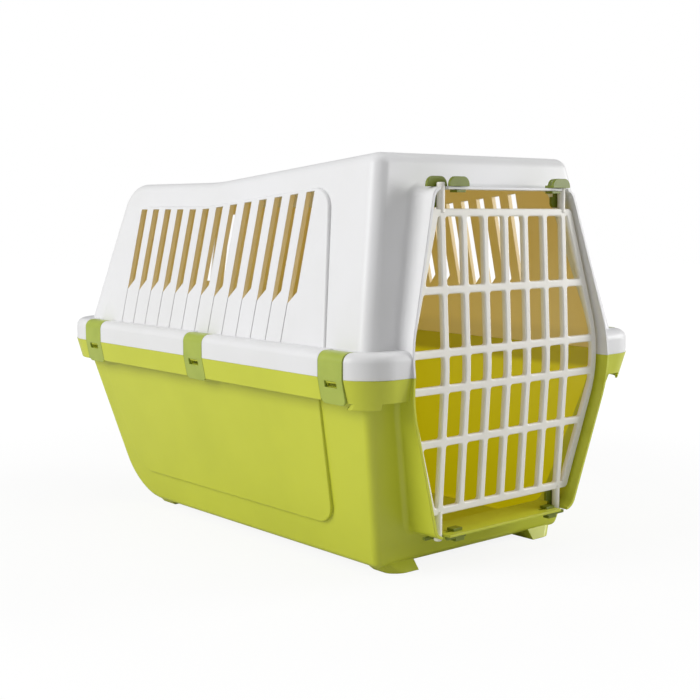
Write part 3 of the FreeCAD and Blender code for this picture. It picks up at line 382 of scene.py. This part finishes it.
# door: a bowed plate with a rounded window between every two bars, and a pin at each end of its outer bars
door = {"rimHalf": 0.1364, "topHalf": 0.10017, "footHalf": 0.10155, "top": 0.3531, "foot": 0.0608,
        "waistTop": 0.226, "waistFoot": 0.174, "rim": 0.200, "bar": 0.0075, "thick": 0.006, "edge": 0.0016,
        "posts": 7, "pitch": 0.029, "rails": (0.277, 0.218, 0.1835, 0.132),
        "corner": 0.0026, "bluntCorner": 0.06, "outerCorner": 0.005, "outerBlunt": 0.12,
        "set": 0.255, "bow": 0.008, "soft": 0.06, "creases": (-0.012, -0.006, 0, 0.006, 0.012),
        "pin": 0.004, "pinTop": 0.3777, "pinFoot": 0.0352, "pinChamfer": 0.0008}


# the door's frame, anticlockwise, drawn in by an inset
def doorFrame(inset):
    rim, top, foot = (door[width] - inset for width in ("rimHalf", "topHalf", "footHalf"))
    high, low = door["top"] - inset, door["foot"] + inset
    return np.array([(-foot, low), (foot, low), (rim, door["waistFoot"]), (rim, door["waistTop"]),
                     (top, high), (-top, high), (-rim, door["waistTop"]), (-rim, door["waistFoot"])])


inside = doorFrame(door["bar"])
halfBar = door["bar"] / 2
posts = (np.arange(door["posts"]) - (door["posts"] - 1) / 2) * door["pitch"]
lefts = np.concatenate([[-door["rimHalf"]], posts + halfBar])
rights = np.concatenate([posts - halfBar, [door["rimHalf"]]])
levels = np.array(door["rails"])
tops = np.concatenate([[door["top"]], levels - halfBar])
feet = np.concatenate([levels + halfBar, [door["foot"]]])
windows = [clipped([(left, low), (right, low), (right, high), (left, high)], inside)
           for low, high in zip(feet, tops) for left, right in zip(lefts, rights)]
loops = [roundedLoop(doorFrame(0), door["outerCorner"], door["outerBlunt"])]
loops += [roundedLoop(window, door["corner"], door["bluntCorner"])
          for window in windows if window is not None]
grille = flatPlate("grille", loops, door["thick"], door["edge"])
reachUp, reachDown = door["top"] - door["rim"], door["rim"] - door["foot"]


# stands the flat door up; it bows out to a soft crease at the rim's height: with t the distance from the
# crease as a share of the reach and s the softness, bow * (1 - (sqrt(t^2 + s^2) - s) / (sqrt(1 + s^2) - s))
def bowed(points):
    u, v, w = points.T
    away = np.where(v > door["rim"], (v - door["rim"]) / reachUp, (door["rim"] - v) / reachDown)
    soft = door["soft"]
    fall = (np.hypot(away, soft) - soft) / (math.hypot(1, soft) - soft)
    return np.stack([u, -(door["set"] + door["bow"] * (1 - fall)) - w, v], axis=-1)


creased = bmesh.new()
creased.from_mesh(grille)
for shift in door["creases"]:
    everything = creased.verts[:] + creased.edges[:] + creased.faces[:]
    creaseHeight = door["rim"] + shift
    bmesh.ops.bisect_plane(creased, geom=everything, plane_co=(0, creaseHeight, 0), plane_no=(0, 1, 0))
creased.to_mesh(grille)
creased.free()
settle(grille, bowed)
pin, chamfer = door["pin"], door["pinChamfer"]
topPin = [(pin, door["top"] - halfBar), (pin, door["pinTop"] - chamfer), (pin - chamfer, door["pinTop"])]
footPin = [(pin - chamfer, door["pinFoot"]), (pin, door["pinFoot"] + chamfer), (pin, door["foot"] + halfBar)]
whole = bmesh.new()
whole.from_mesh(grille)
for across in (posts[0], posts[-1]):
    for profile in (topPin, footPin):
        verts, faces = turned(profile, (across, -door["set"]))
        rod = bpy.data.meshes.new("doorPin")
        rod.from_pydata(verts.tolist(), [], faces)
        whole.from_mesh(rod)
doorMesh = bpy.data.meshes.new("doorGrille")
whole.to_mesh(doorMesh)
whole.free()
makePiece("doorGrille", doorMesh, "door_white", "door", "door_grille")
print("door: %d windows" % (len(loops) - 1))

# floor and light: a pale sheet that keeps a soft shadow near the object and fades to white away from it, a
# large lamp on the left, set back so that it leaves the door alone, one that rakes the door from the right
# and a weak one above; each lamp has its name, place, size and watts
studio = {"floorSize": 12.0, "floorColour": (0.7, 0.7, 0.7), "floorGlow": 1.05,
          "nearShare": 0.85, "fadeFrom": 0.45, "fadeTo": 1.3,
          "skyColour": (1, 1, 1), "skyGrey": 0.26, "skyShown": 1, "aim": (0, 0, 0.2),
          "lamps": [("left", (-2.6, 0.8, 1.5), 1.6, 58), ("right", (2.6, -1.5, 1.0), 1.4, 60),
                    ("top", (0.1, -0.5, 2.6), 2.2, 16)]}
floorHalf = studio["floorSize"] / 2
floorMesh = bpy.data.meshes.new("floor")
floorCorners = [(x * floorHalf, y * floorHalf, 0) for x, y in ((-1, -1), (1, -1), (1, 1), (-1, 1))]
floorMesh.from_pydata(floorCorners, [], [(0, 1, 2, 3)])
floor = bpy.data.objects.new("floor", floorMesh)
scene.collection.objects.link(floor)
sheetMat = bpy.data.materials.new("paleSheet")
sheetMat.use_nodes = True
tree = sheetMat.node_tree
tree.nodes.clear()
spot = addNode(tree, "ShaderNodeTexCoord", {})
distance = addNode(tree, "ShaderNodeVectorMath", {0: spot.outputs["Object"]}, operation="LENGTH")
fade = addNode(tree, "ShaderNodeMapRange", {
    "Value": distance.outputs["Value"], "From Min": studio["fadeFrom"], "From Max": studio["fadeTo"],
    "To Min": studio["nearShare"]})
ray = addNode(tree, "ShaderNodeLightPath", {})
seen = addNode(tree, "ShaderNodeMath", {
    0: ray.outputs["Is Camera Ray"], 1: fade.outputs["Result"]}, operation="MULTIPLY")
matt = addNode(tree, "ShaderNodeBsdfDiffuse", {"Color": studio["floorColour"] + (1,)})
glow = addNode(tree, "ShaderNodeEmission", {"Strength": studio["floorGlow"]})
sheet = addNode(tree, "ShaderNodeMixShader", {
    "Fac": seen.outputs["Value"], 1: matt.outputs["BSDF"], 2: glow.outputs["Emission"]})
addNode(tree, "ShaderNodeOutputMaterial", {"Surface": sheet.outputs["Shader"]})
floorMesh.materials.append(sheetMat)

world = bpy.data.worlds.new("studio")
scene.world = world
world.use_nodes = True
tree = world.node_tree
tree.nodes.clear()
ray = addNode(tree, "ShaderNodeLightPath", {})
shown = addNode(tree, "ShaderNodeMath", {
    0: ray.outputs["Is Camera Ray"], 1: ray.outputs["Is Transmission Ray"]}, operation="MAXIMUM")
strength = addNode(tree, "ShaderNodeMapRange", {
    "Value": shown.outputs["Value"], "To Min": studio["skyGrey"], "To Max": studio["skyShown"]})
sky = addNode(tree, "ShaderNodeBackground", {
    "Color": studio["skyColour"] + (1,), "Strength": strength.outputs["Result"]})
addNode(tree, "ShaderNodeOutputWorld", {"Surface": sky.outputs["Background"]})

for name, place, size, watts in studio["lamps"]:
    lampData = bpy.data.lights.new(name, "AREA")
    lampData.size = size
    lampData.energy = watts
    lamp = bpy.data.objects.new(name, lampData)
    scene.collection.objects.link(lamp)
    lamp.location = place
    lamp.rotation_euler = facing(Vector(studio["aim"]) - Vector(place))
scene.view_settings.view_transform = "Standard"
print("studio: %d lamps" % len(studio["lamps"]))
